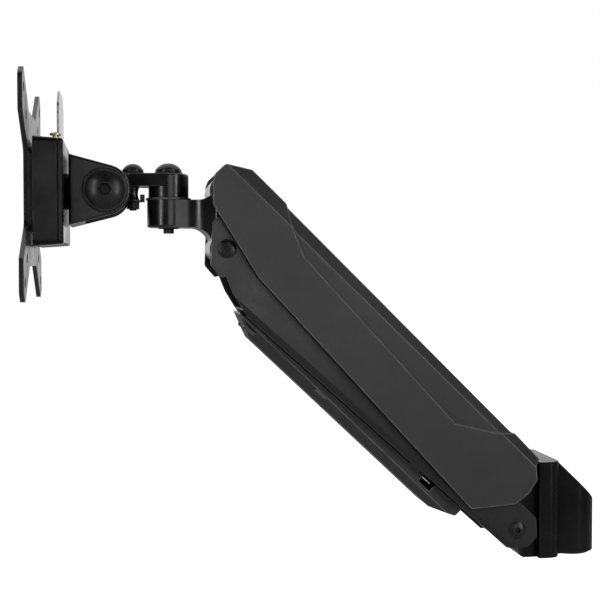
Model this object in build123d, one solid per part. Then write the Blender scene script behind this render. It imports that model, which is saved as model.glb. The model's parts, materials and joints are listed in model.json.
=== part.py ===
"""Gas-spring monitor arm: the spring-lifted upper segment with its tilting, swivelling quick-release head.

Millimetres, +Z up.  The origin is the centre of the rear bracket's vertical post bore, at its mouth.
The arm reaches towards -X and is stored raised, ARM_ANGLE above the horizontal, with its plane on Y = 0.
"""
from build123d import *
from math import acos, atan2, cos, degrees, radians, sin, sqrt
import os

# ---- driving dimensions ------------------------------------------------------------------
ARM_ANGLE = 44.0        # the stored arm's slope above the horizontal
ARM_PITCH = 233.0       # pivot to pivot along either link
LINK_OFFSET = 32.0      # upper pivots stand this far above the lower ones
PIVOT_X = -41.0         # both rear pivots
PIVOT_Z = 18.0          # rear lower pivot
PIN_R = 4.0
RUN = 0.05              # radial running clearance of every turning pin

LUG_Y = 19.5            # half width over the bracket's and the knuckle's lugs
LINK_T = 2.5            # sheet of both links
UPPER_Y = 22.7          # outer faces of the upper link
LOWER_Y = 25.7          # outer faces of the lower link
COVER_Y = 30.0          # outer faces of the arm cover
COVER_T = 2.0

POST_R = 9.0            # the post that stands in the rear bracket
BUSH_T = 1.5
BOSS_R = 15.0
BRACKET_TOP = 56.3

SWIVEL_X = -239.5       # arm-end swivel
HEAD_X = -259.4         # head swivel
TILT_X = -274.6         # tilt axis
VESA_X = -317.0         # monitor face
PLATE_T = 2.5
VESA_WIDE = 100.0
VESA_NARROW = 75.0
VESA_HOLE_R = 2.75

# ---- worked-out places --------------------------------------------------------------------
C, S = cos(radians(ARM_ANGLE)), sin(radians(ARM_ANGLE))
REAR_LOW = (PIVOT_X, PIVOT_Z)
REAR_UP = (PIVOT_X, PIVOT_Z + LINK_OFFSET)
FRONT_LOW = (PIVOT_X - ARM_PITCH * C, PIVOT_Z + ARM_PITCH * S)
FRONT_UP = (FRONT_LOW[0], FRONT_LOW[1] + LINK_OFFSET)
HEAD_Z = FRONT_UP[1]    # tilt axis and monitor centre
UP_U, UP_V = LINK_OFFSET * S, LINK_OFFSET * C   # upper pivots in the arm's own frame

ARM = Plane(origin=(PIVOT_X, 0, PIVOT_Z), x_dir=(-C, 0, S), z_dir=(0, 1, 0))
SIDE = Plane(origin=(0, 0, 0), x_dir=(1, 0, 0), z_dir=(0, -1, 0))

parts = {}


# ---- helpers ------------------------------------------------------------------------------
def outline(points, radius=0.0, corners=None):
    """A closed outline; the given corners (all of them by default) are rounded."""
    face = Polygon(*points, align=None)
    if corners is None:
        return fillet(face.vertices(), radius)
    return rounded(face, [points[i] for i in corners], radius)


def rounded(face, places, radius):
    """The face with its corners at these places rounded."""
    wanted = [Vector(*place) for place in places]
    corners = [v for v in face.vertices() if min((Vector(v.X, v.Y) - w).length for w in wanted) < 0.01]
    return fillet(corners, radius)


def slab(face, y0, y1, plane=SIDE):
    """A face of the side view made solid from y0 to y1."""
    solid = extrude(plane * face, amount=y1 - y0, dir=(0, 1, 0))
    return Pos(0, y0, 0) * solid


def pair(face, y0, y1, plane=SIDE):
    """The same plate on both sides of the middle plane."""
    return slab(face, y0, y1, plane) + slab(face, -y1, -y0, plane)


def rod_y(place, r, y0, y1):
    return Pos(place[0], (y0 + y1) / 2, place[1]) * Rot(90, 0, 0) * Cylinder(r, y1 - y0)


def rod_x(y, z, r, x0, x1):
    return Pos((x0 + x1) / 2, y, z) * Rot(0, 90, 0) * Cylinder(r, x1 - x0)


def rod_z(x, y, r, z0, z1):
    return Pos(x, y, (z0 + z1) / 2) * Cylinder(r, z1 - z0)


def block(x0, x1, y0, y1, z0, z1):
    return Pos((x0 + x1) / 2, (y0 + y1) / 2, (z0 + z1) / 2) * Box(x1 - x0, y1 - y0, z1 - z0)


def ring_y(place, r_out, r_in, y0, y1):
    return rod_y(place, r_out, y0, y1) - rod_y(place, r_in, y0 - 1, y1 + 1)


def ring_z(x, r_out, r_in, z0, z1):
    return rod_z(x, 0, r_out, z0, z1) - rod_z(x, 0, r_in, z0 - 1, z1 + 1)


def both_sides(solid):
    """A piece and its mirror image across the arm's middle plane, as separate solids."""
    return solid + mirror(solid, about=Plane.XZ)


def dome_head(r, h, socket_af, socket_depth, rim=0.5):
    """A head with a spherical top and a straight rim, standing on Z = 0, with a hexagonal key socket."""
    rise = h - rim
    ball = (r * r + rise * rise) / (2 * rise)
    head = Pos(0, 0, h / 2) * Cylinder(r, h)
    head = head & (Pos(0, 0, h - ball) * Sphere(ball))
    key = extrude(RegularPolygon(socket_af / 2, 6, major_radius=False), amount=socket_depth + 1)
    return head - Pos(0, 0, h - socket_depth) * key


def hex_nut(af, h, bore_r):
    nut = extrude(RegularPolygon(af / 2, 6, major_radius=False), amount=h)
    crown = Pos(0, 0, h / 2) * Cone(af / 2 * 1.15 + h * 0.9, af / 2 * 1.02, h)
    nut = nut & crown
    return nut - Pos(0, 0, h / 2) * Cylinder(bore_r, h + 2)


def on_arm(u, v):
    """A place of the arm's own frame, in the side view's X and Z."""
    return (PIVOT_X - u * C + v * S, PIVOT_Z + u * S + v * C)


# ---- rear bracket --------------------------------------------------------------------------
POCKET_Y = 11.0
POCKET_BACK = -21.5
SCREW_X = -26.5         # tension screw
SCREW_R = 2.5
ANCHOR = (-42.0, 39.0)  # gas spring's rear anchor pin
FLOOR_Z = 9.0
BODY_X = -26.5          # the bracket is full width from here ...
NECK_X = -12.5          # ... to here
BODY_Y = 23.5
LUG_R = 9.0
LOW_LUG_R = 10.5
FOOT_X = -38.0          # the lugs stand on the bracket's foot behind this


def slope_cut():
    """Everything behind and above the bracket's sloping back."""
    low, high = (40.0, 5.5), (-40.0, 81.5)
    return slab(Polygon(low, high, (60, 81.5), (60, 5.5), align=None), -40, 40)


def lug_outline():
    """Side view of the lugs: two pivot eyes joined, on the bracket's foot."""
    low, high = REAR_LOW, REAR_UP
    web = Polygon((low[0] - LOW_LUG_R, low[1]), (high[0] - LUG_R, high[1]), (high[0], high[1] + 5.4),
                  (-20, high[1] + 5.4), (-20, low[1]), align=None)
    foot = outline([(FOOT_X, 0), (-20, 0), (-20, low[1]), (FOOT_X, low[1])], 4.0, [0])
    return web + foot + Pos(*low) * Circle(LOW_LUG_R) + Pos(*high) * Circle(LUG_R)


def make_rear_bracket():
    body = slab(lug_outline(), -LUG_Y, LUG_Y)
    shoulder = block(BODY_X, NECK_X, -BODY_Y, BODY_Y, 0, BRACKET_TOP)
    shoulder = fillet(shoulder.edges().filter_by(Axis.Z).group_by(Axis.X)[-1], 8.0)
    neck = block(-23, 0, -BOSS_R, BOSS_R, 0, BRACKET_TOP)
    boss = rod_z(0, 0, BOSS_R, 0, BRACKET_TOP)
    body = body + shoulder + neck + boss
    body = body - slope_cut()
    body = body - block(-60, POCKET_BACK, -POCKET_Y, POCKET_Y, FLOOR_Z, 47)
    body = body - block(-60, -30.5, -POCKET_Y, POCKET_Y, 46, 70)
    body = body - rod_z(0, 0, POST_R + BUSH_T, -1, 30)
    body = body - rod_z(SCREW_X, 0, SCREW_R + RUN, -1, 20) - rod_z(SCREW_X, 0, 5.4, -1, 4.2)
    for pivot in (REAR_LOW, REAR_UP):
        body = body - rod_y(pivot, PIN_R, -40, 40)
    return body


def make_post_bush():
    sleeve = rod_z(0, 0, POST_R + BUSH_T, 0, 29.5) + rod_z(0, 0, 13.2, -1.2, 0)
    return sleeve - rod_z(0, 0, POST_R, -3, 40)


def make_tension_screw():
    head = Pos(SCREW_X, 0, 4.0) * Rot(180, 0, 0) * dome_head(5.0, 3.4, 4.0, 2.2, 2.2)
    return head + rod_z(SCREW_X, 0, SCREW_R, 3.9, 45)


def make_tension_clip():
    clip = ring_z(SCREW_X, 4.4, SCREW_R, FLOOR_Z + 0.4, FLOOR_Z + 1.4)
    return clip - block(SCREW_X, SCREW_X + 9, -1.6, 1.6, FLOOR_Z, FLOOR_Z + 3)


EYE_HOLE_R = 6.0
EYE_R = 8.2
ANCHOR_PIN_R = 3.0
EYE_Y = 4.5


def make_spring_anchor():
    """The nut that rides the tension screw and carries the spring's rear pin between two ears."""
    x, z = ANCHOR
    nut = block(-30.6, -22.0, -10.6, 10.6, z - 6.5, z + 6.5)
    nut = fillet(nut.edges().filter_by(Axis.Y), 1.0)
    ear = outline([(x - 5.5, z - 5), (-24, z - 5), (-24, z + 5), (x - 5.5, z + 5)], 4.0, [0, 3])
    nut = nut + pair(ear, 5.4, 9.6)
    nut = nut - rod_z(SCREW_X, 0, SCREW_R + RUN, 0, 60)
    return nut - rod_y(ANCHOR, ANCHOR_PIN_R, -20, 20)


def make_anchor_pin():
    return rod_y(ANCHOR, ANCHOR_PIN_R, -9.6, 9.6)


# ---- pivots ------------------------------------------------------------------------------
HEAD_Y = LOWER_Y + 0.15     # lower pivot screws' heads start here


def make_lower_pin(pivot):
    """The knuckle's through shaft; a low domed screw head closes each end over the lower link."""
    return rod_y(pivot, PIN_R, -HEAD_Y, HEAD_Y)


def make_stub_pins(pivot, end):
    """A short shaft in each of the bracket's lugs, clear of the spring between them."""
    return both_sides(rod_y(pivot, PIN_R, POCKET_Y, end))


def make_pivot_screws(pivot):
    head = Pos(pivot[0], -HEAD_Y, pivot[1]) * Rot(90, 0, 0) * dome_head(4.9, 1.7, 3.0, 1.1, 0.6)
    return both_sides(head)


def make_spacers(pivot):
    return both_sides(ring_y(pivot, 6.5, PIN_R, LUG_Y, LOWER_Y - LINK_T - 0.15))


UPPER_END_Y = UPPER_Y + 0.3     # upper pivots end inside the lower link's plates


def make_upper_pin(pivot):
    return rod_y(pivot, PIN_R, -UPPER_END_Y, UPPER_END_Y)


def make_upper_washers(pivot):
    return both_sides(ring_y(pivot, 7.0, PIN_R, LUG_Y, UPPER_Y - LINK_T - 0.1))


# ---- upper link ----------------------------------------------------------------------------
LINK_TOP = UP_V + 12.2
BUSH_WALL = 1.2
SPRING_FRONT = (UP_U + 165.0, UP_V - 2.0)   # gas spring's front pin, in the arm's frame
SPRING_PIN_R = 3.0


def make_upper_link():
    u0, u1 = UP_U, UP_U + ARM_PITCH
    points = [(u0 - 8, UP_V - 6), (u0 - 8, UP_V + 6), (u0 + 4, LINK_TOP), (u1 - 5, LINK_TOP)]
    points += [(u1 + 8, UP_V + 6), (u1 + 8, UP_V - 6), (u1 - 6, UP_V - 11.5), (u0 + 6, UP_V - 11.5)]
    side = outline(points, 5.0)
    link = slab(side, -UPPER_Y, UPPER_Y, ARM)
    inside = UPPER_Y - LINK_T
    bottom = Polygon((u0 - 40, -40), (u1 + 40, -40), (u1 + 40, LINK_TOP - LINK_T),
                     (u0 - 40, LINK_TOP - LINK_T), align=None)
    link = link - slab(bottom, -inside, inside, ARM)
    ends = Polygon((u0 - 40, 0), (u0 + 7, 0), (u0 + 7, 90), (u0 - 40, 90), align=None)
    link = link - slab(ends, -inside, inside, ARM)
    ends = Polygon((u1 + 40, 0), (u1 - 8, 0), (u1 - 8, 90), (u1 + 40, 90), align=None)
    link = link - slab(ends, -inside, inside, ARM)
    for pivot in (REAR_UP, FRONT_UP):
        link = link - rod_y(pivot, PIN_R + BUSH_WALL, -40, 40)
    link = link - rod_y(on_arm(*SPRING_FRONT), SPRING_PIN_R, -40, 40)
    for step in range(5):       # lightening slots along the top
        link = link - web_slot(u0 + 32 + step * 42)
    return link


def web_slot(u):
    """A slot through the upper link's top, centred u along the arm."""
    x, z = on_arm(u, LINK_TOP)
    return Pos(x, 0, z) * Rot(0, ARM_ANGLE, 0) * Box(24, 9, 9)


def make_link_bushes(pivots, outer, thick, wall=BUSH_WALL):
    """Plain bushes in a link's two plates, at both of its pivots."""
    bushes = None
    for pivot in pivots:
        bush = both_sides(ring_y(pivot, PIN_R + wall, PIN_R + RUN, outer - thick, outer))
        bushes = bush if bushes is None else bushes + bush
    return bushes


def make_spring_pin():
    place = on_arm(*SPRING_FRONT)
    return rod_y(place, SPRING_PIN_R, -UPPER_Y - 0.3, UPPER_Y + 0.3)


# ---- gas spring ------------------------------------------------------------------------------
TUBE_R = 9.0
TUBE_BORE_R = 7.8
ROD_R = 4.0
TUBE_START, TUBE_END = 11.0, 122.0      # from the front pin, along the spring
SPRING_TILT = 2.55                      # the spring's mean angle to the arm


def spring_length():
    """Front pin to rear anchor along the spring's own line, with the arm as stored."""
    front = on_arm(*SPRING_FRONT)
    reach = (ANCHOR[0] - front[0], ANCHOR[1] - front[1])
    line = spring_line()
    return reach[0] * line[0] + reach[1] * line[1]


def spring_line():
    """Unit direction from the front pin to the rear eye, in X and Z."""
    angle = radians(ARM_ANGLE + SPRING_TILT)
    return (cos(angle), -sin(angle))


def along_spring(solid):
    """Place a solid that was made along +Z from the front pin."""
    front = on_arm(*SPRING_FRONT)
    line = spring_line()
    tilt = degrees(atan2(line[0], line[1]))
    return Pos(front[0], 0, front[1]) * Rot(0, tilt, 0) * solid


def make_gas_tube():
    tube = Pos(0, 0, (TUBE_START + TUBE_END) / 2) * Cylinder(TUBE_R, TUBE_END - TUBE_START)
    tube = fillet(tube.edges().group_by(Axis.Z)[0], 3.0)
    tube = fillet(tube.edges().group_by(Axis.Z)[-1], 1.0)
    bore = Pos(0, 0, (TUBE_START + 3 + TUBE_END + 5) / 2) * Cylinder(TUBE_BORE_R, TUBE_END + 2 - TUBE_START)
    return along_spring(tube - bore)


def make_rod_guide():
    guide = Pos(0, 0, TUBE_END - 5.5) * Cylinder(TUBE_BORE_R, 9.0)
    return along_spring(guide - Pos(0, 0, TUBE_END) * Cylinder(ROD_R + RUN, 40))


def make_front_eye():
    eye = Rot(90, 0, 0) * Cylinder(7.0, 2 * EYE_Y)
    eye = eye + Pos(0, 0, 8.0) * Cylinder(4.0, 6.0)
    return along_spring(eye - Rot(90, 0, 0) * Cylinder(SPRING_PIN_R, 30))


def make_gas_rod():
    length = spring_length()
    start, end = length - EYE_R - 72.0, length - EYE_R - 1.0
    rod = Pos(0, 0, (start + end) / 2) * Cylinder(ROD_R, end - start)
    piston = Pos(0, 0, start) * Cylinder(TUBE_BORE_R - RUN, 6.0)
    return along_spring(rod + piston)


def make_rear_eye():
    length = spring_length()
    eye = Pos(0, 0, length) * Rot(90, 0, 0) * Cylinder(EYE_R, 2 * EYE_Y)
    eye = eye + Pos(0, 0, length - EYE_R - 3.5) * Cylinder(6.0, 9.0)
    eye = eye - Pos(0, 0, length) * Rot(90, 0, 0) * Cylinder(EYE_HOLE_R, 30)
    return along_spring(eye - Pos(0, 0, length - EYE_R - 20) * Cylinder(ROD_R, 38.0))


# ---- arm cover -------------------------------------------------------------------------------
COVER_OUTLINE = [(255.6, 11.9), (264.6, 21.4), (266.2, 25.0), (265.8, 32.6), (253.0, 41.0),
                 (236.5, 41.0), (42.0, 39.0), (19.4, 38.2), (18.8, 33.7), (12.6, 28.4),
                 (11.1, 18.9), (12.8, 9.6), (30.3, -10.0), (209.5, 0.3)]
CHAMFER_V = 33.2        # the side faces turn in above this
CHAMFER_Y = 4.5
RECESS = 1.1
RECESS_OUTLINE = [(234.0, 46.0), (217.0, 34.4), (209.8, 30.6), (199.0, 26.2), (71.4, 18.6),
                  (49.8, 31.3), (39.5, 39.5), (36.0, 46.0)]


def cover_section(inset):
    """The cover's cross-section solid, inset from its outer faces, over its whole length."""
    half = COVER_Y - inset
    top = 41.0 - inset
    flat = half - CHAMFER_Y * (top - CHAMFER_V + inset * 0.4) / (41.0 - CHAMFER_V)
    section = Polygon((-half, -30), (half, -30), (half, CHAMFER_V - inset * 0.4), (flat, top),
                      (-flat, top), (-half, CHAMFER_V - inset * 0.4), align=None)
    across = Plane(origin=ARM.origin, x_dir=(0, 1, 0), z_dir=(-C, 0, S))
    if across.y_dir.dot(ARM.y_dir) < 0:
        across = Plane(origin=ARM.origin, x_dir=(0, -1, 0), z_dir=(-C, 0, S))
    return extrude(across * section, amount=300, dir=(-C, 0, S))


def make_arm_cover():
    side = outline(COVER_OUTLINE, 3.0, [0, 1, 2, 3, 8, 9, 10, 11, 12])
    shape = slab(side, -COVER_Y, COVER_Y, ARM)
    full = shape & cover_section(0)
    lowered = [(u, v - RECESS if 4 <= i <= 7 else v) for i, (u, v) in enumerate(COVER_OUTLINE)]
    low = slab(Polygon(*lowered, align=None), -COVER_Y, COVER_Y, ARM) & cover_section(RECESS)
    recess = slab(Polygon(*RECESS_OUTLINE, align=None), -40, 40, ARM)
    body = (full - recess) + (low & recess)
    roof = COVER_T + RECESS     # the roof is thick enough for the recess in its outside
    under_top = Polygon((-40, -60), (320, -60), (320, 41.0 - roof), (236, 41.0 - roof),
                        (42, 39.0 - roof), (-40, 38.0 - roof), align=None)
    hollow = cover_section(COVER_T) & slab(under_top, -40, 40, ARM)
    front = Polygon((246, -60), (330, -60), (330, 29.5), (262.5, 29.5), (250, 38.2), (246, 38.2),
                    align=None)
    inner = COVER_Y - COVER_T
    return body - hollow - (slab(front, -inner, inner, ARM) & cover_section(COVER_T))


# ---- lower link ------------------------------------------------------------------------------
LOWER_OUTLINE = [(-12.0, 5.0), (-12.0, -3.0), (-3.0, -12.0), (8.0, -12.3), (198.0, -19.5),
                 (214.0, -15.2), (222.5, -11.4), (224.0, -13.6), (233.0, -12.8), (249.0, 5.0),
                 (249.0, 9.0), (243.0, 12.6), (-4.0, 12.6)]
WEB_START, WEB_END = 32.0, 203.0
SNAP_PLACES = (40, 90, 137, 192)
CABLE_EXIT = 56


def lower_edge(u):
    """The lower link's bottom line."""
    return -12.3 - (u - 8.0) * 7.2 / 190.0


def bent_section():
    """The folded channel's rounded cross-section, run along the lower link's bottom line."""
    fall = atan2(7.2, 190.0)
    start = ARM.from_local_coords(Vector(-40, lower_edge(-40), 0))
    along = ARM.x_dir * cos(fall) - ARM.y_dir * sin(fall)
    section = Pos(0, 40) * Rectangle(2 * LOWER_Y, 80)
    low = [v for v in section.vertices() if v.Y < 1]
    plane = Plane(origin=start, x_dir=(0, -1, 0), z_dir=along)
    return extrude(plane * fillet(low, 4.0), amount=320)


def make_lower_link():
    side = outline(LOWER_OUTLINE, 2.5, [0, 1, 2, 4, 8, 9, 10, 11, 12])
    link = slab(side, -LOWER_Y, LOWER_Y, ARM)
    link = link & bent_section()
    inner = LOWER_Y - LINK_T
    floor = [(WEB_START, lower_edge(WEB_START) + LINK_T), (WEB_END, lower_edge(WEB_END) + LINK_T)]
    channel = Polygon((-60, -60), (WEB_START, -60), floor[0], floor[1], (WEB_END, -60), (330, -60),
                      (330, 60), (-60, 60), align=None)
    link = link - slab(channel, -inner, inner, ARM)
    for pivot in (REAR_LOW, FRONT_LOW):
        link = link - rod_y(pivot, PIN_R + BUSH_WALL, -40, 40)
    for u in SNAP_PLACES:       # snap slots for the cable cover, in the channel's floor
        x, z = on_arm(u, lower_edge(u))
        link = link - Pos(x, 0, z) * Rot(0, ARM_ANGLE, 0) * (Pos(0, 12.5, 0) * Box(9, 3.2, 12))
        link = link - Pos(x, 0, z) * Rot(0, ARM_ANGLE, 0) * (Pos(0, -12.5, 0) * Box(9, 3.2, 12))
    return link


CABLE_Y = 18.0


def make_cable_cover():
    """A shallow trough that snaps up into the lower link's floor; its top edges follow that floor."""
    side = [(30.0, lower_edge(30) - 0.3), (30.2, -18.8), (44.6, -25.4), (188.0, -27.0), (202.0, -20.9),
            (202.6, lower_edge(202.6) - 0.3)]
    shape = slab(outline(side, 1.5, [1, 2, 3]), -CABLE_Y, CABLE_Y, ARM)
    section = Polygon((-CABLE_Y, -5), (-CABLE_Y, -20.8), (-11.5, -27.5), (11.5, -27.5), (CABLE_Y, -20.8),
                      (CABLE_Y, -5), align=None)
    inside = Polygon((-CABLE_Y + 1.6, -5), (-CABLE_Y + 1.6, -20.0), (-10.9, -25.6), (10.9, -25.6),
                     (CABLE_Y - 1.6, -20.0), (CABLE_Y - 1.6, -5), align=None)
    across = Plane(origin=ARM.origin, x_dir=(0, -1, 0), z_dir=(-C, 0, S))
    shape = shape & extrude(across * section, amount=260, dir=(-C, 0, S))
    hollow = extrude(across * inside, amount=260, dir=(-C, 0, S))
    trough = Polygon((34, 0), (34, -18), (46, -23.8), (187, -25.2), (198, -20.6), (198, 0), align=None)
    shape = shape - (hollow & slab(trough, -30, 30, ARM))
    x, z = on_arm(CABLE_EXIT, lower_edge(CABLE_EXIT) - 2.2)     # cables leave through the side walls
    shape = shape - Pos(x, 0, z) * Rot(0, ARM_ANGLE, 0) * Box(9.0, 60, 5.0)
    for u in SNAP_PLACES:
        x, z = on_arm(u, lower_edge(u) - 1.0)
        x2, z2 = on_arm(u, lower_edge(u) - 4.2)
        for y in (-12.5, 12.5):
            shape = shape + Pos(x, y, z) * Rot(0, ARM_ANGLE, 0) * Box(7.5, 1.6, 9.0)
            shape = shape + Pos(x2, y * 1.16, z2) * Rot(0, ARM_ANGLE, 0) * Box(7.5, 5.6, 1.6)
    return shape


# ---- knuckle and arm-end swivel ----------------------------------------------------------------
BOSS_LOW_Z, BOSS_HIGH_Z = HEAD_Z - 19.9, HEAD_Z - 4.4
DISC_T = 1.3
LINK_Z0 = BOSS_HIGH_Z + DISC_T
LINK_Z1 = HEAD_Z + 10.4
ARM_BOSS_R = 12.1
NECK_Y = 11.6           # half width of the knuckle between its boss and its lugs
SWIVEL_BOLT_R = 3.0
NECK_Z0 = HEAD_Z + 3.1      # underside of the swivel link's thin end


def make_knuckle():
    x = FRONT_UP[0]
    zu, zl = FRONT_UP[1], FRONT_LOW[1]
    top, bottom = BOSS_HIGH_Z, BOSS_LOW_Z
    over, under = (x - 5.8, top), (x - 7, bottom)
    side = [(SWIVEL_X, top), over, (x - 5.8, zu + 6), (x, zu + LUG_R), (x + 9, zu + 3),
            (x + 9, zl - 3), (x, zl - LUG_R), (x - 7, zl - 6), under, (SWIVEL_X, bottom)]
    face = rounded(rounded(outline(side, 2.0, [2, 7]), [over], 8.5), [under], 11.0)
    body = slab(face, -LUG_Y, LUG_Y)
    flare, full = [(x - 16, -NECK_Y), (x - 16, NECK_Y)], [(x - 5, -LUG_Y), (x - 5, LUG_Y)]
    plan = Polygon((SWIVEL_X, -NECK_Y), flare[0], full[0], (x + 12, -LUG_Y), (x + 12, LUG_Y), full[1],
                   flare[1], (SWIVEL_X, NECK_Y), align=None)
    plan = rounded(rounded(plan, flare, 16.0), full, 4.0)
    body = body & extrude(Pos(0, 0, 100) * plan, amount=150, dir=(0, 0, 1))
    hub = rod_z(SWIVEL_X, 0, ARM_BOSS_R, bottom, top)
    hub = fillet(hub.edges().group_by(Axis.Z)[0], 1.5)
    body = body + hub
    body = body + rod_y(FRONT_UP, LUG_R, -LUG_Y, LUG_Y) + rod_y(FRONT_LOW, LUG_R, -LUG_Y, LUG_Y)
    body = body - block(x - 1, x + 20, -12, 12, zl + 10, zu - 10)
    for pivot in (FRONT_LOW, FRONT_UP):
        body = body - rod_y(pivot, PIN_R, -40, 40)
    body = body - rod_z(SWIVEL_X, 0, SWIVEL_BOLT_R, bottom - 5, top + 5)
    hexagon = RegularPolygon(5.2, 6, major_radius=False)
    return body - Pos(SWIVEL_X, 0, bottom - 1) * extrude(hexagon, amount=5.4)


def make_friction_disc():
    return ring_z(SWIVEL_X, 12.7, SWIVEL_BOLT_R + RUN, BOSS_HIGH_Z, LINK_Z0 - 0.1)


def make_swivel_bolt():
    head = Pos(SWIVEL_X, 0, LINK_Z1 + 1.1) * dome_head(7.4, 5.2, 4.0, 2.4, 1.3)
    return head + rod_z(SWIVEL_X, 0, SWIVEL_BOLT_R, BOSS_LOW_Z - 3.2, LINK_Z1 + 1.2)


def make_swivel_washer():
    return ring_z(SWIVEL_X, 8.0, SWIVEL_BOLT_R, LINK_Z1 + 0.1, LINK_Z1 + 1.1)


def make_swivel_nut():
    return Pos(SWIVEL_X, 0, BOSS_LOW_Z - 0.6) * hex_nut(10.0, 4.8, SWIVEL_BOLT_R)


SLEEVE_WALL = 1.3


def make_swivel_link():
    thin, thick = 7.6, 11.3
    hub = rod_z(SWIVEL_X, 0, thick, LINK_Z0, LINK_Z1)
    hub = fillet(hub.edges().group_by(Axis.Z)[-1], 1.2)
    angle = atan2(thick - thin, SWIVEL_X - HEAD_X)
    x0, y0 = HEAD_X - sin(angle) * thin, cos(angle) * thin
    x1, y1 = SWIVEL_X - sin(angle) * thick, cos(angle) * thick
    strap = Polygon((x0, -y0), (x1, -y1), (x1, y1), (x0, y0), align=None)
    strap = extrude(Pos(0, 0, NECK_Z0) * strap, amount=LINK_Z1 - NECK_Z0)
    strap = strap + rod_z(HEAD_X, 0, thin, NECK_Z0, LINK_Z1)
    strap = fillet(strap.edges().filter_by(GeomType.CIRCLE).group_by(Axis.Z)[-1], 0.8)
    link = hub + strap
    link = link - rod_z(SWIVEL_X, 0, SWIVEL_BOLT_R + SLEEVE_WALL, 0, 400)
    return link - rod_z(HEAD_X, 0, HEAD_BOLT_R + SLEEVE_WALL, 0, 400)


def make_swivel_sleeves():
    wide = ring_z(SWIVEL_X, SWIVEL_BOLT_R + SLEEVE_WALL, SWIVEL_BOLT_R + RUN, LINK_Z0, LINK_Z1)
    return wide + ring_z(HEAD_X, HEAD_BOLT_R + SLEEVE_WALL, HEAD_BOLT_R + RUN, NECK_Z0, LINK_Z1)


# ---- tilt hub and head swivel ------------------------------------------------------------------
HEAD_BOLT_R = 2.0
HUB_Z0, HUB_Z1 = HEAD_Z - 4.6, NECK_Z0 - 0.15
CHEEK_Y = 18.5          # inner faces of the tilt bracket
CHEEK_T = 3.5
TILT_PIN_R = 4.0


def make_tilt_hub():
    barrel = rod_y((TILT_X, HEAD_Z), 7.4, -CHEEK_Y + 0.6, CHEEK_Y - 0.6)
    barrel = fillet(barrel.edges().filter_by(GeomType.CIRCLE), 0.8)
    waist, end = 2.8, 3.7
    profile = make_face(Line((0, HUB_Z0), (end, HUB_Z0))
                        + ThreePointArc((end, HUB_Z0), (waist, (HUB_Z0 + HUB_Z1) / 2), (end, HUB_Z1))
                        + Line((end, HUB_Z1), (0, HUB_Z1)) + Line((0, HUB_Z1), (0, HUB_Z0)))
    post = Pos(HEAD_X, 0, 0) * revolve(Plane.XZ * profile, Axis.Z)
    rib = block(TILT_X, HEAD_X - 2.0, -3.4, 3.4, HUB_Z0, HUB_Z1)
    web = block(TILT_X, TILT_X + 10.5, -7.5, 7.5, HUB_Z0, HUB_Z1)
    web = fillet(web.edges().filter_by(Axis.Z).group_by(Axis.X)[-1], 3.5)
    hub = barrel + post + rib + web
    hub = hub - rod_z(HEAD_X, 0, HEAD_BOLT_R, 0, 400)
    return hub - rod_y((TILT_X, HEAD_Z), TILT_PIN_R + RUN, -30, 30)


def make_head_bolt():
    head = Pos(HEAD_X, 0, LINK_Z1 + 0.7) * dome_head(6.0, 5.0, 3.0, 2.2, 1.2)
    return head + rod_z(HEAD_X, 0, HEAD_BOLT_R, HUB_Z0 - 5.6, LINK_Z1 + 0.8)


def make_head_washer():
    return ring_z(HEAD_X, 6.6, HEAD_BOLT_R, LINK_Z1 + 0.1, LINK_Z1 + 0.7)


def make_tab_washer():
    """A thin lock washer whose lug is bent up beside the hub."""
    washer = ring_z(HEAD_X, 5.8, HEAD_BOLT_R, HUB_Z0 - 0.8, HUB_Z0)
    return washer + block(HEAD_X + 3.9, HEAD_X + 6.5, -2.2, 2.2, HUB_Z0 - 0.8, HUB_Z0 + 3.4)


def make_head_nut():
    return Pos(HEAD_X, 0, HUB_Z0 - 0.8) * Rot(180, 0, 30) * hex_nut(7.0, 4.0, HEAD_BOLT_R)


# ---- tilt bracket ------------------------------------------------------------------------------
BASE_X = -294.0         # back of the tilt bracket's base
BASE_T = 4.0
BASE_HALF = 19.3
NOSE_R = 13.8
ROTATE_R = 4.0


def bracket_side():
    """Side view of the tilt bracket: its straight edges run tangent into the round nose."""
    reach = sqrt((TILT_X - BASE_X) ** 2 + BASE_HALF ** 2)
    touch = atan2(BASE_HALF, BASE_X - TILT_X) - acos(NOSE_R / reach)
    x, z = TILT_X + NOSE_R * cos(touch), NOSE_R * sin(touch)
    low, high = (BASE_X, HEAD_Z - BASE_HALF), (BASE_X, HEAD_Z + BASE_HALF)
    under, over = (x, HEAD_Z - z), (x, HEAD_Z + z)
    edge = Line(low, under) + ThreePointArc(under, (TILT_X + NOSE_R, HEAD_Z), over)
    return make_face(edge + Line(over, high) + Line(high, low))


def make_tilt_bracket():
    side = bracket_side()
    cheeks = slab(side, -CHEEK_Y - CHEEK_T, CHEEK_Y + CHEEK_T)
    outer = [e for e in cheeks.edges() if abs(abs(e.center().Y) - CHEEK_Y - CHEEK_T) < 0.01]
    cheeks = fillet(outer, 1.4)
    cheeks = cheeks - block(BASE_X + BASE_T, 0, -CHEEK_Y, CHEEK_Y, 0, 400)
    lip = slab(side, -CHEEK_Y - 1, CHEEK_Y + 1) & block(BASE_X, BASE_X + BASE_T + 4, -40, 40, 0, 400)
    inside = BASE_HALF - 3
    gusset = block(BASE_X, BASE_X + 20, -40, 40, HEAD_Z - inside, HEAD_Z + inside)
    bracket = cheeks + (lip - gusset)
    bracket = bracket - rod_y((TILT_X, HEAD_Z), TILT_PIN_R, -40, 40)
    return bracket - rod_x(0, HEAD_Z, ROTATE_R, BASE_X - 5, BASE_X + 10)


CAP_Y = CHEEK_Y + CHEEK_T


def make_tilt_washers():
    return both_sides(ring_y((TILT_X, HEAD_Z), 7.5, TILT_PIN_R, CHEEK_Y - 0.5, CHEEK_Y))


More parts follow.
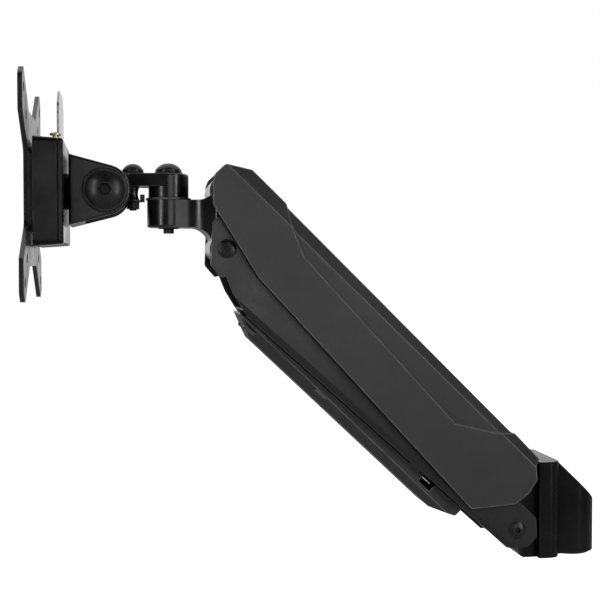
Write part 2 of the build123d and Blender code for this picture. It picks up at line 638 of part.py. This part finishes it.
def make_tilt_rings():
    ring = rod_y((TILT_X, HEAD_Z), 12.2, CAP_Y, CAP_Y + 1.4)
    ring = fillet(ring.edges().group_by(Axis.Y)[-1], 0.9)
    ring = ring - rod_y((TILT_X, HEAD_Z), TILT_PIN_R, 0, 60)
    return both_sides(ring)


def make_tilt_bolt():
    head = Pos(TILT_X, -CAP_Y - 1.4, HEAD_Z) * Rot(90, 0, 0) * dome_head(10.6, 4.2, 6.4, 4.2, 0.5)
    return head + rod_y((TILT_X, HEAD_Z), TILT_PIN_R, -CAP_Y - 1.5, CAP_Y + 4.0)


def make_tilt_nut():
    cap = Pos(TILT_X, CAP_Y + 1.4, HEAD_Z) * Rot(-90, 0, 0) * dome_head(10.6, 4.2, 6.4, 0.5, 0.5)
    return cap - rod_y((TILT_X, HEAD_Z), TILT_PIN_R, 0, CAP_Y + 4.0)


# ---- release block and monitor plate ----------------------------------------------------------
BLOCK_FRONT, BLOCK_REAR = -311.8, -296.0
BLOCK_MID_Z = HEAD_Z - 1.8
BLOCK_HALF_Z, BLOCK_HALF_Y = 29.0, 36.0
WALL = 1.7
SLOT_X0, SLOT_X1 = -301.6, -297.7       # slot for the release latch
SEAM_X = -299.2         # groove where the block's back meets its sides


def make_release_block():
    front = Plane(origin=(BLOCK_FRONT, 0, BLOCK_MID_Z), x_dir=(0, 1, 0), z_dir=(1, 0, 0))
    base = fillet(Rectangle(2 * BLOCK_HALF_Y, 2 * BLOCK_HALF_Z).vertices(), 3.0)
    body = extrude(front * base, amount=BLOCK_REAR - BLOCK_FRONT, taper=4.0)
    body = fillet(body.edges().group_by(Axis.X)[-1], 1.4)
    room = block(BLOCK_FRONT + 3, BLOCK_REAR - WALL, -BLOCK_HALF_Y + 4, BLOCK_HALF_Y - 4,
                 BLOCK_MID_Z - BLOCK_HALF_Z + 4, BLOCK_MID_Z + BLOCK_HALF_Z - 4)
    mouth = block(BLOCK_FRONT - 2, BLOCK_FRONT + 6, -24, 24, HEAD_Z - 17, HEAD_Z + 17)
    slot = block(SLOT_X0, SLOT_X1, -22.0, 22.0, BLOCK_MID_Z, BLOCK_MID_Z + 60)
    groove = block(SEAM_X, SEAM_X + 0.6, -60, 60, BLOCK_MID_Z - 60, BLOCK_MID_Z + 60)
    core = block(SEAM_X - 1, SEAM_X + 2, -BLOCK_HALF_Y + 1.6, BLOCK_HALF_Y - 1.6,
                 BLOCK_MID_Z - BLOCK_HALF_Z + 1.6, BLOCK_MID_Z + BLOCK_HALF_Z - 1.6)
    body = body - room - mouth - slot - (groove - core)
    body = body - rod_z(LOCK[0], LOCK[1], 1.5, BLOCK_MID_Z + 20, BLOCK_MID_Z + 60)
    return body - rod_x(0, HEAD_Z, ROTATE_R + RUN, BLOCK_REAR - 8, BLOCK_REAR + 4)


LOCK = (-300.3, -27.5)


def make_lock_screw():
    z = BLOCK_MID_Z + BLOCK_HALF_Z
    head = Pos(LOCK[0], LOCK[1], z + 0.9) * dome_head(3.0, 1.8, 1.5, 0.8, 0.9)
    return head + rod_z(LOCK[0], LOCK[1], 1.5, z - 5, z + 1.0)


def make_rotation_washer():
    return rod_x(0, HEAD_Z, 10.0, BLOCK_REAR + 0.1, BASE_X) - rod_x(0, HEAD_Z, ROTATE_R, -400, -200)


def make_rotation_bolt():
    head = Pos(BASE_X + BASE_T, 0, HEAD_Z) * Rot(0, 90, 0) * dome_head(6.5, 2.6, 4.0, 1.6, 1.2)
    return head + rod_x(0, HEAD_Z, ROTATE_R, BLOCK_REAR - WALL - 6.6, BASE_X + BASE_T + 0.1)


def make_rotation_nut():
    start = BLOCK_REAR - WALL - 1.5
    return Pos(start, 0, HEAD_Z) * Rot(0, -90, 0) * hex_nut(10.0, 4.6, ROTATE_R)


def make_rotation_spring():
    """A disc spring that keeps the rotation joint's friction."""
    x = BLOCK_REAR - WALL
    return rod_x(0, HEAD_Z, 8.0, x - 1.4, x - 0.15) - rod_x(0, HEAD_Z, ROTATE_R, -400, -200)


ADAPTER_X = VESA_X + PLATE_T
PLATE_SCREW_Y = (-18.0, 18.0)
PLATE_SCREW_Z = (-12.0, 12.0)


def make_adapter():
    """The cleat plate behind the monitor plate; its boss drops into the release block's mouth."""
    plate = fillet(Rectangle(64, 44).vertices(), 4.0)
    front = Plane(origin=(ADAPTER_X, 0, HEAD_Z), x_dir=(0, 1, 0), z_dir=(1, 0, 0))
    body = extrude(front * plate, amount=BLOCK_FRONT - ADAPTER_X)
    boss = fillet(Rectangle(47, 33).vertices(), 2.0)
    body = body + extrude(Plane(origin=(BLOCK_FRONT, 0, HEAD_Z), x_dir=(0, 1, 0), z_dir=(1, 0, 0)) * boss,
                          amount=2.6)
    for y in PLATE_SCREW_Y:
        for z in PLATE_SCREW_Z:
            body = body - rod_x(y, HEAD_Z + z, 2.0, -330, -300)
    return body


PLATE_QUARTER = [(29.0, 0), (29.0, 20.0), (57.8, 37.5), (58.2, 55.5), (50.5, 61.0), (21, 41.5), (0, 41.5)]


def plate_outline():
    right = PLATE_QUARTER
    points = right + [(-y, z) for y, z in reversed(right[:-1])]
    points = points + [(-y, -z) for y, z in right[1:]] + [(y, -z) for y, z in reversed(right[1:-1])]
    face = Polygon(*points, align=None)
    ends = [v for v in face.vertices() if abs(v.X) > 45 and abs(v.Y) > 45]
    face = fillet(ends, 4.0)
    inner = [v for v in face.vertices() if abs(abs(v.X) - 21) < 0.1 or abs(abs(v.X) - 29) < 0.1]
    return fillet(inner, 6.0)


def make_vesa_plate():
    front = Plane(origin=(VESA_X, 0, HEAD_Z), x_dir=(0, 1, 0), z_dir=(1, 0, 0))
    plate = extrude(front * plate_outline(), amount=PLATE_T)
    for spacing in (VESA_WIDE, VESA_NARROW):
        for y in (-spacing / 2, spacing / 2):
            for z in (-spacing / 2, spacing / 2):
                plate = plate - rod_x(y, HEAD_Z + z, VESA_HOLE_R, -330, -300)
    for y in PLATE_SCREW_Y:
        for z in PLATE_SCREW_Z:
            seat = Pos(VESA_X + PLATE_T / 2, y, HEAD_Z + z) * Rot(0, 90, 0) * Cone(4.2, 2.0, PLATE_T)
            plate = plate - seat
    return plate


def make_plate_screws():
    screws = None
    middle = VESA_X + PLATE_T / 2 + 0.15
    for y in PLATE_SCREW_Y:
        for z in PLATE_SCREW_Z:
            head = Pos(middle, y, HEAD_Z + z) * Rot(0, 90, 0) * Cone(3.9, 2.0, PLATE_T - 0.3)
            key = Plane(origin=(VESA_X, y, HEAD_Z + z), x_dir=(0, 1, 0), z_dir=(1, 0, 0))
            head = head - extrude(key * RegularPolygon(1.25, 6, major_radius=False), amount=1.3)
            screw = head + rod_x(y, HEAD_Z + z, 2.0, VESA_X + PLATE_T - 0.2, BLOCK_FRONT + 2.6)
            screws = screw if screws is None else screws + screw
    return screws


LATCH_X0, LATCH_X1 = -299.9, -298.7
LATCH_PIN = (-302.4, BLOCK_MID_Z + 14.0)
LATCH_KNUCKLE_R = 2.8
LATCH_TOP = HEAD_Z + 54.0


def make_release_latch():
    """A flat thumb tongue on a knuckle that turns inside the release block."""
    low = LATCH_PIN[1] - LATCH_KNUCKLE_R
    tongue = Polygon((-21.2, low), (21.2, low), (21.2, LATCH_TOP - 8),
                     (13.5, LATCH_TOP), (-13.5, LATCH_TOP), (-21.2, LATCH_TOP - 8), align=None)
    tops = [v for v in tongue.vertices() if v.Y > LATCH_TOP - 10]
    tongue = fillet(tops, 4.0)
    face = Plane(origin=(LATCH_X0, 0, 0), x_dir=(0, 1, 0), z_dir=(1, 0, 0))
    body = extrude(face * tongue, amount=LATCH_X1 - LATCH_X0)
    knuckle = rod_y(LATCH_PIN, LATCH_KNUCKLE_R, -21.2, 21.2)
    foot = block(LATCH_PIN[0], LATCH_X1, -21.2, 21.2, low, low + 2.2)
    hook = block(LATCH_PIN[0] - 5.6, LATCH_PIN[0], -10, 10, LATCH_PIN[1] - 1.4, LATCH_PIN[1] + 1.2)
    return body + knuckle + foot + hook - rod_y(LATCH_PIN, 1.5 + RUN, -40, 40)


def make_latch_pin():
    return rod_y(LATCH_PIN, 1.5, -31.9, 31.9)


# ---- the whole arm -------------------------------------------------------------------------------
def make_all():
    parts["rear_bracket"] = make_rear_bracket()
    parts["post_bush"] = make_post_bush()
    parts["rear_lower_pins"] = make_stub_pins(REAR_LOW, HEAD_Y)
    parts["rear_lower_screws"] = make_pivot_screws(REAR_LOW)
    parts["rear_lower_spacers"] = make_spacers(REAR_LOW)
    parts["rear_upper_pins"] = make_stub_pins(REAR_UP, UPPER_END_Y)
    parts["rear_upper_washers"] = make_upper_washers(REAR_UP)
    parts["tension_screw"] = make_tension_screw()
    parts["tension_screw_clip"] = make_tension_clip()
    parts["spring_anchor"] = make_spring_anchor()
    parts["spring_anchor_pin"] = make_anchor_pin()

    parts["upper_link"] = make_upper_link()
    parts["upper_link_bushes"] = make_link_bushes((REAR_UP, FRONT_UP), UPPER_Y, LINK_T)
    parts["arm_cover"] = make_arm_cover()
    parts["spring_front_pin"] = make_spring_pin()
    parts["gas_spring_tube"] = make_gas_tube()
    parts["gas_spring_rod_guide"] = make_rod_guide()
    parts["gas_spring_front_eye"] = make_front_eye()
    parts["gas_spring_rod"] = make_gas_rod()
    parts["gas_spring_rear_eye"] = make_rear_eye()

    parts["lower_link"] = make_lower_link()
    parts["lower_link_bushes"] = make_link_bushes((REAR_LOW, FRONT_LOW), LOWER_Y, LINK_T)
    parts["cable_cover"] = make_cable_cover()

    parts["knuckle"] = make_knuckle()
    parts["front_lower_pin"] = make_lower_pin(FRONT_LOW)
    parts["front_lower_screws"] = make_pivot_screws(FRONT_LOW)
    parts["front_lower_spacers"] = make_spacers(FRONT_LOW)
    parts["front_upper_pin"] = make_upper_pin(FRONT_UP)
    parts["front_upper_washers"] = make_upper_washers(FRONT_UP)
    parts["swivel_friction_disc"] = make_friction_disc()
    parts["swivel_bolt"] = make_swivel_bolt()
    parts["swivel_bolt_washer"] = make_swivel_washer()
    parts["swivel_bolt_nut"] = make_swivel_nut()

    parts["swivel_link"] = make_swivel_link()
    parts["swivel_link_sleeves"] = make_swivel_sleeves()

    parts["tilt_hub"] = make_tilt_hub()
    parts["head_bolt"] = make_head_bolt()
    parts["head_bolt_washer"] = make_head_washer()
    parts["head_lock_washer"] = make_tab_washer()
    parts["head_bolt_nut"] = make_head_nut()

    parts["tilt_bracket"] = make_tilt_bracket()
    parts["tilt_bolt"] = make_tilt_bolt()
    parts["tilt_bolt_nut"] = make_tilt_nut()
    parts["tilt_bolt_rings"] = make_tilt_rings()
    parts["tilt_friction_washers"] = make_tilt_washers()
    parts["rotation_bolt"] = make_rotation_bolt()
    parts["rotation_washer"] = make_rotation_washer()

    parts["release_block"] = make_release_block()
    parts["rotation_disc_spring"] = make_rotation_spring()
    parts["rotation_bolt_nut"] = make_rotation_nut()
    parts["latch_pin"] = make_latch_pin()
    parts["lock_screw"] = make_lock_screw()
    parts["adapter_plate"] = make_adapter()
    parts["vesa_plate"] = make_vesa_plate()
    parts["vesa_plate_screws"] = make_plate_screws()
    parts["release_latch"] = make_release_latch()


make_all()
os.makedirs("parts", exist_ok=True)
for name, solid in parts.items():
    export_step(solid, f"parts/{name}.step")
print(len(parts), "nodes; spring", round(spring_length(), 3), "along", spring_line())
print("front lower pivot", FRONT_LOW, "front upper pivot", FRONT_UP)
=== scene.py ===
"""Looks of the gas-spring monitor arm: camera, soft studio light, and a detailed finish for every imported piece."""
import json
from math import radians

import bpy
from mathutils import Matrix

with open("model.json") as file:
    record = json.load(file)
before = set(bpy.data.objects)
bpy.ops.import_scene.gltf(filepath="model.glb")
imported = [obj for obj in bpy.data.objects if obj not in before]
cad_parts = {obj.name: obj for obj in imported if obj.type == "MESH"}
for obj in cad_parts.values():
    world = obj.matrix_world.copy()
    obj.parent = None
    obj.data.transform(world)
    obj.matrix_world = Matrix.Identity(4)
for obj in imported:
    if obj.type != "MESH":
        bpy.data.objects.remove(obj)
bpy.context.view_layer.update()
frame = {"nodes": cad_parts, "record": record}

SCENE = bpy.context.scene
MM = 0.001


# ---- camera, stage and light ---------------------------------------------------------------
def place_camera():
    data = bpy.data.cameras.new("camera")
    data.lens = 65.4
    data.sensor_width = 36.0
    camera = bpy.data.objects.new("camera", data)
    camera.location = (-0.2628, -0.624, 0.1705)
    camera.rotation_euler = (radians(88.2), 0.0, radians(-9.0))
    SCENE.collection.objects.link(camera)
    SCENE.camera = camera


FLOOR_DROP = 0.32       # the floor lies this far under the bracket's mouth


def lay_floor():
    mesh = bpy.data.meshes.new("floor")
    far = 12.0
    corners = [(-far, -far, 0), (far, -far, 0), (far, far, 0), (-far, far, 0)]
    mesh.from_pydata([(x, y, -FLOOR_DROP) for x, y, _ in corners], [], [(0, 1, 2, 3)])
    floor = bpy.data.objects.new("floor", mesh)
    SCENE.collection.objects.link(floor)
    material = bpy.data.materials.new("pale_floor")
    material.use_nodes = True
    shader = material.node_tree.nodes["Principled BSDF"]
    shader.inputs["Base Color"].default_value = (0.50, 0.50, 0.50, 1)
    shader.inputs["Roughness"].default_value = 0.9
    shader.inputs["Emission Color"].default_value = (1, 1, 1, 1)
    path = material.node_tree.nodes.new("ShaderNodeLightPath")
    material.node_tree.links.new(path.outputs["Is Camera Ray"], shader.inputs["Emission Strength"])
    mesh.materials.append(material)


def softbox(name, place, aim, size, power):
    """A rectangular area light at place, turned towards aim."""
    from mathutils import Vector
    data = bpy.data.lights.new(name, "AREA")
    data.shape = "RECTANGLE"
    data.size, data.size_y = size
    data.energy = power
    lamp = bpy.data.objects.new(name, data)
    lamp.location = place
    lamp.rotation_euler = (Vector(aim) - Vector(place)).to_track_quat("-Z", "Y").to_euler()
    SCENE.collection.objects.link(lamp)


def light_studio():
    """A white room behind and beside the arm, a dim one in front, and softboxes either side of the camera."""
    world = bpy.data.worlds.new("studio")
    SCENE.world = world
    world.use_nodes = True
    tree = world.node_tree
    background = tree.nodes["Background"]
    where = tree.nodes.new("ShaderNodeTexCoord")
    split = tree.nodes.new("ShaderNodeSeparateXYZ")
    tree.links.new(where.outputs["Generated"], split.inputs[0])
    ramp = tree.nodes.new("ShaderNodeMapRange")
    ramp.inputs["From Min"].default_value = -0.10
    ramp.inputs["From Max"].default_value = 0.50
    ramp.inputs["To Min"].default_value = 0.02
    ramp.inputs["To Max"].default_value = 1.0
    tree.links.new(split.outputs["Y"], ramp.inputs["Value"])
    path = tree.nodes.new("ShaderNodeLightPath")
    seen = tree.nodes.new("ShaderNodeMath")
    seen.operation = "MAXIMUM"
    tree.links.new(path.outputs["Is Camera Ray"], seen.inputs[0])
    tree.links.new(ramp.outputs[0], seen.inputs[1])
    tree.links.new(seen.outputs[0], background.inputs["Strength"])
    background.inputs["Color"].default_value = (1, 1, 1, 1)
    middle = (-0.17, 0.0, 0.13)
    softbox("softbox_right", (0.80, -1.10, 0.45), middle, (0.12, 1.2), 7.0)
    softbox("softbox_left", (-1.20, -1.0, 0.45), middle, (0.12, 1.2), 6.0)
    softbox("softbox_front", (0.06, -1.6, 0.28), (0.06, 0.0, 0.28), (0.70, 0.56), 2.6)
    softbox("softbox_top", (-0.1, 0.2, 1.3), middle, (1.2, 0.8), 1.5)


# ---- finishes ------------------------------------------------------------------------------
class Finish:
    """A node material under construction: a Principled shader and short calls to feed it."""

    def __init__(self, name):
        self.material = bpy.data.materials.new(name)
        self.material.use_nodes = True
        self.tree = self.material.node_tree
        self.shader = self.tree.nodes["Principled BSDF"]
        self.place = self.add("ShaderNodeTexCoord").outputs["Object"]

    def add(self, kind, **settings):
        node = self.tree.nodes.new(kind)
        for key, value in settings.items():
            setattr(node, key, value)
        return node

    def link(self, output, socket):
        self.tree.links.new(output, socket)

    def set(self, **values):
        for key, value in values.items():
            self.shader.inputs[key.replace("_", " ")].default_value = value

    def noise(self, scale, detail=4.0, rough=0.55, stretch=None):
        """Noise of the given scale per metre, drawn out along an axis by stretch."""
        node = self.add("ShaderNodeTexNoise")
        node.inputs["Scale"].default_value = scale
        node.inputs["Detail"].default_value = detail
        node.inputs["Roughness"].default_value = rough
        place = self.place
        if stretch:
            mapping = self.add("ShaderNodeMapping")
            mapping.inputs["Scale"].default_value = stretch
            self.link(place, mapping.inputs["Vector"])
            place = mapping.outputs["Vector"]
        self.link(place, node.inputs["Vector"])
        return node.outputs["Fac"]

    def cells(self, scale, feature="F1"):
        node = self.add("ShaderNodeTexVoronoi", feature=feature)
        node.inputs["Scale"].default_value = scale
        self.link(self.place, node.inputs["Vector"])
        return node.outputs["Distance"]

    def span(self, value, low, high, to_low, to_high):
        """Stretch a value's low..high to to_low..to_high, held at both ends."""
        node = self.add("ShaderNodeMapRange")
        node.inputs["From Min"].default_value = low
        node.inputs["From Max"].default_value = high
        node.inputs["To Min"].default_value = to_low
        node.inputs["To Max"].default_value = to_high
        self.link(value, node.inputs["Value"])
        return node.outputs["Result"]

    def math(self, operation, a, b):
        node = self.add("ShaderNodeMath", operation=operation)
        for socket, value in zip(node.inputs, (a, b)):
            if isinstance(value, (int, float)):
                socket.default_value = value
            else:
                self.link(value, socket)
        return node.outputs["Value"]

    def blend(self, factor, low, high):
        """A colour between two, by a factor."""
        node = self.add("ShaderNodeMix", data_type="RGBA")
        self.link(factor, node.inputs["Factor"])
        for socket, colour in ((node.inputs[6], low), (node.inputs[7], high)):
            if isinstance(colour, tuple):
                socket.default_value = (*colour, 1)
            else:
                self.link(colour, socket)
        return node.outputs[2]

    def edges(self, radius, low=0.02, high=0.35):
        """About 1 on the piece's outer edges and 0 on its faces."""
        bevel = self.add("ShaderNodeBevel", samples=4)
        bevel.inputs["Radius"].default_value = radius
        flat = self.add("ShaderNodeNewGeometry").outputs["Normal"]
        dot = self.add("ShaderNodeVectorMath", operation="DOT_PRODUCT")
        self.link(bevel.outputs["Normal"], dot.inputs[0])
        self.link(flat, dot.inputs[1])
        turned = self.math("SUBTRACT", 1.0, dot.outputs["Value"])
        return self.span(turned, low, high, 0.0, 1.0)

    def occlusion(self, reach, low):
        """Falls from 1 to low in hollows and seams narrower than about reach metres: a painted shade factor for colour
        and sheen.
        """
        node = self.add("ShaderNodeAmbientOcclusion", samples=8)
        node.inputs["Distance"].default_value = reach
        return self.span(node.outputs["AO"], 0.25, 0.9, low, 1.0)

    def darken(self, colour, factor):
        node = self.add("ShaderNodeVectorMath", operation="SCALE")
        self.link(colour, node.inputs[0])
        self.link(factor, node.inputs["Scale"])
        return node.outputs["Vector"]

    def specular(self, factor, level):
        self.link(self.math("MULTIPLY", factor, level), self.shader.inputs["Specular IOR Level"])

    def bump(self, heights):
        """Stack bumps over softly rounded edges; each is a height, its strength and its distance in metres."""
        rounding = self.add("ShaderNodeBevel", samples=4)
        rounding.inputs["Radius"].default_value = 0.0004
        normal = rounding.outputs["Normal"]
        for height, strength, distance in heights:
            node = self.add("ShaderNodeBump")
            node.inputs["Strength"].default_value = strength
            node.inputs["Distance"].default_value = distance
            self.link(height, node.inputs["Height"])
            self.link(normal, node.inputs["Normal"])
            normal = node.outputs["Normal"]
        self.link(normal, self.shader.inputs["Normal"])

    def colour(self, output):
        self.link(output, self.shader.inputs["Base Color"])

    def roughness(self, output):
        self.link(output, self.shader.inputs["Roughness"])


ARM_MIDDLE_X = -0.165   # halfway between the bracket's post and the monitor plate


def shaded_ends(f, low):
    """Painted shade: the sheen falls to low on the block and the bracket, the pieces at the arm's two ends, set by
    distance along X from the arm's middle.
    """
    split = f.add("ShaderNodeSeparateXYZ")
    f.link(f.place, split.inputs[0])
    reach = f.math("ABSOLUTE", f.math("SUBTRACT", split.outputs["X"], ARM_MIDDLE_X), 0.0)
    return f.span(reach, 0.126, 0.131, 1.0, low)


def powder_coat(name, dark, light, rough, grain, depth, sheen, ends=1.0):
    """Black powder coat: orange peel, faint mottling, painted shade in hollows, edges lighter partly from wear and
    partly as a painted highlight, and painted shade on the sheen at the arm's ends.
    """
    f = Finish(name)
    mottle = f.noise(28.0, 5.0, 0.6)
    peel = f.noise(grain, 3.0, 0.6)
    fine = f.noise(grain * 3.1, 2.0, 0.7)
    # Edge mask: lighter colour and smoother there, partly wear and partly a painted highlight along the edges.
    lighter_edges = f.math("MULTIPLY", f.edges(0.0010, 0.003, 0.10), f.span(f.noise(160.0, 4.0), 0.42, 0.66, 0.15, 1.0))
    body = f.blend(f.span(mottle, 0.35, 0.68, 0.0, 1.0), dark, light)
    body = f.blend(f.math("MULTIPLY", lighter_edges, 0.8), body, tuple(c * 3.2 + 0.05 for c in light))
    # Painted shade: colour and sheen darkened in hollows and seams.
    hollow_shade = f.occlusion(0.006, 0.1)
    f.colour(f.darken(body, hollow_shade))
    # Painted shade: the sheen also falls on the block and bracket, by position along X.
    f.specular(f.math("MULTIPLY", hollow_shade, shaded_ends(f, ends)), sheen)
    smudge = f.span(f.noise(45.0, 6.0, 0.65), 0.35, 0.7, rough - 0.06, rough + 0.08)
    f.roughness(f.math("SUBTRACT", smudge, f.math("MULTIPLY", lighter_edges, 0.08)))
    f.bump([(peel, 0.35, depth), (fine, 0.25, depth * 0.4)])
    f.set(IOR=1.5)
    return f.material


def moulded_plastic(name, dark, light, rough, grain, sheen):
    """Fine spark-eroded plastic: an even leather-like grain, soft sheen changes, faint handling marks, edges lighter
    partly from wear and partly as a painted highlight, and painted shade in hollows.
    """
    f = Finish(name)
    mottle = f.noise(16.0, 4.0, 0.55)
    body = f.blend(f.span(mottle, 0.35, 0.65, 0.0, 1.0), dark, light)
    pits = f.cells(grain)
    speck = f.span(pits, 0.1, 0.75, 0.92, 1.06)
    # Lighter edges: partly wear, partly a painted highlight along the edges.
    wear_and_highlight_edges = f.math("MULTIPLY", f.edges(0.0013, 0.002, 0.05), f.span(f.noise(90.0, 3.0), 0.3, 0.7, 0.45, 1.0))
    body = f.blend(wear_and_highlight_edges, f.darken(body, speck), tuple(c * 3.0 + 0.10 for c in light))
    # Painted shade: colour and sheen darkened in hollows and seams.
    hollow_shade = f.occlusion(0.008, 0.15)
    f.colour(f.darken(body, hollow_shade))
    f.specular(hollow_shade, sheen)
    streak = f.noise(9.0, 6.0, 0.7, stretch=(1.0, 1.0, 2.2))
    f.roughness(f.span(streak, 0.3, 0.7, rough - 0.05, rough + 0.06))
    f.bump([(f.noise(220.0, 3.0), 0.10, 0.0002), (pits, 0.30, 0.00008)])
    f.set(IOR=1.5)
    return f.material


def black_oxide(name):
    """Black oxide screws: near-black metal, oily patches, bright scuffed edges round the key socket, and painted shade
    in the socket and other hollows.
    """
    f = Finish(name)
    lighter_edges = f.math("MULTIPLY", f.edges(0.0004), f.span(f.noise(420.0, 3.0), 0.4, 0.62, 0.2, 1.0))
    body = f.blend(f.span(f.noise(260.0, 4.0), 0.35, 0.7, 0.0, 1.0), (0.006, 0.006, 0.007), (0.014, 0.0135, 0.0135))
    # Painted shade: colour and sheen darkened in the key socket and other hollows.
    hollow_shade = f.occlusion(0.004, 0.05)
    f.colour(f.darken(f.blend(lighter_edges, body, (0.16, 0.155, 0.15)), hollow_shade))
    f.specular(hollow_shade, 0.4)
    f.roughness(f.span(f.noise(180.0, 5.0, 0.65), 0.32, 0.7, 0.24, 0.42))
    f.bump([(f.noise(1400.0, 2.0), 0.15, 0.00003)])
    f.set(Metallic=0.1, IOR=1.5)
    return f.material


def plated_steel(name, dark, light, rough, stretch=(1.0, 1.0, 14.0)):
    """Plated or machined steel with fine drawn marks, dull blooms and brighter edges."""
    f = Finish(name)
    marks = f.noise(900.0, 3.0, 0.7, stretch=stretch)
    bloom = f.noise(130.0, 5.0, 0.6)
    body = f.blend(f.span(bloom, 0.35, 0.68, 0.0, 1.0), dark, light)
    f.colour(f.blend(f.math("MULTIPLY", f.edges(0.0003), 0.6), body, tuple(min(1.0, c * 1.4) for c in light)))
    f.roughness(f.math("ADD", f.span(bloom, 0.3, 0.7, rough - 0.06, rough + 0.1),
                       f.span(marks, 0.3, 0.7, -0.05, 0.05)))
    f.bump([(marks, 0.25, 0.00002)])
    f.set(Metallic=1.0)
    return f.material


def gloss_enamel(name):
    """The gas spring's black enamel: deep gloss, a faint fine bump and fine rub marks."""
    f = Finish(name)
    rub = f.noise(70.0, 6.0, 0.7)
    f.colour(f.blend(f.span(rub, 0.45, 0.7, 0.0, 1.0), (0.012, 0.012, 0.013), (0.028, 0.028, 0.030)))
    f.roughness(f.span(rub, 0.3, 0.75, 0.12, 0.3))
    f.bump([(f.noise(350.0, 2.0), 0.12, 0.00004)])
    f.set(Coat_Weight=0.5, Coat_Roughness=0.08)
    return f.material


def make_finishes():
    return {
        # cast_black's last value, 0.3, is the sheen kept at the arm's ends: painted shade.
        "cast_black": powder_coat("cast_black", (0.004, 0.004, 0.0045), (0.008, 0.008, 0.0085), 0.24, 900.0, 0.00003, 0.50, 0.3),
        "sheet_black": powder_coat("sheet_black", (0.008, 0.008, 0.009), (0.013, 0.013, 0.014), 0.30, 1300.0, 0.00003, 0.45),
        "cover_black": moulded_plastic("cover_black", (0.026, 0.026, 0.027), (0.034, 0.034, 0.035), 0.36, 1500.0, 0.40),
        "black_nylon": moulded_plastic("black_nylon", (0.010, 0.010, 0.010), (0.016, 0.016, 0.016), 0.42, 900.0, 0.4),
        "bolt_black": black_oxide("bolt_black"),
        "zinc_steel": plated_steel("zinc_steel", (0.40, 0.40, 0.41), (0.56, 0.56, 0.56), 0.30),
        "yellow_zinc": plated_steel("yellow_zinc", (0.46, 0.42, 0.24), (0.60, 0.58, 0.46), 0.34),
        "anchor_steel": plated_steel("anchor_steel", (0.17, 0.17, 0.18), (0.30, 0.30, 0.30), 0.42),
        "spring_tube_black": gloss_enamel("spring_tube_black"),
        "rod_chrome": plated_steel("rod_chrome", (0.62, 0.62, 0.64), (0.72, 0.72, 0.73), 0.12),
    }


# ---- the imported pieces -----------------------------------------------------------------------
EDGE = {"arm_cover": 0.5, "cable_cover": 0.5, "rear_bracket": 0.9, "knuckle": 0.9, "release_block": 0.5,
        "lower_link": 0.45, "upper_link": 0.4, "tilt_bracket": 0.0, "vesa_plate": 0.0, "release_latch": 0.35,
        "swivel_link": 0.4, "tilt_hub": 0.4}
SMALL_EDGE = 0.18
SHARP = radians(32)


def soften(node, width):
    """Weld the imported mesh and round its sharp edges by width, in millimetres; 0 leaves it alone."""
    if width == 0.0:
        return
    weld = node.modifiers.new("weld", "WELD")
    weld.merge_threshold = 1e-6
    bevel = node.modifiers.new("edge", "BEVEL")
    bevel.width = width * MM
    bevel.segments = 3
    bevel.limit_method = "ANGLE"
    bevel.angle_limit = SHARP
    bevel.harden_normals = True
    bevel.use_clamp_overlap = True
    flat = node.modifiers.new("flat", "WEIGHTED_NORMAL")
    flat.keep_sharp = True


def finish_pieces():
    finishes = make_finishes()
    slots = {part["node"]: part["material_slot"] for part in frame["record"]["subparts"]}
    for name, node in frame["nodes"].items():
        node.material_slots[0].material = finishes[slots[name]]
        soften(node, EDGE.get(name, SMALL_EDGE))


place_camera()
lay_floor()
light_studio()
finish_pieces()
SCENE.view_settings.view_transform = "Standard"
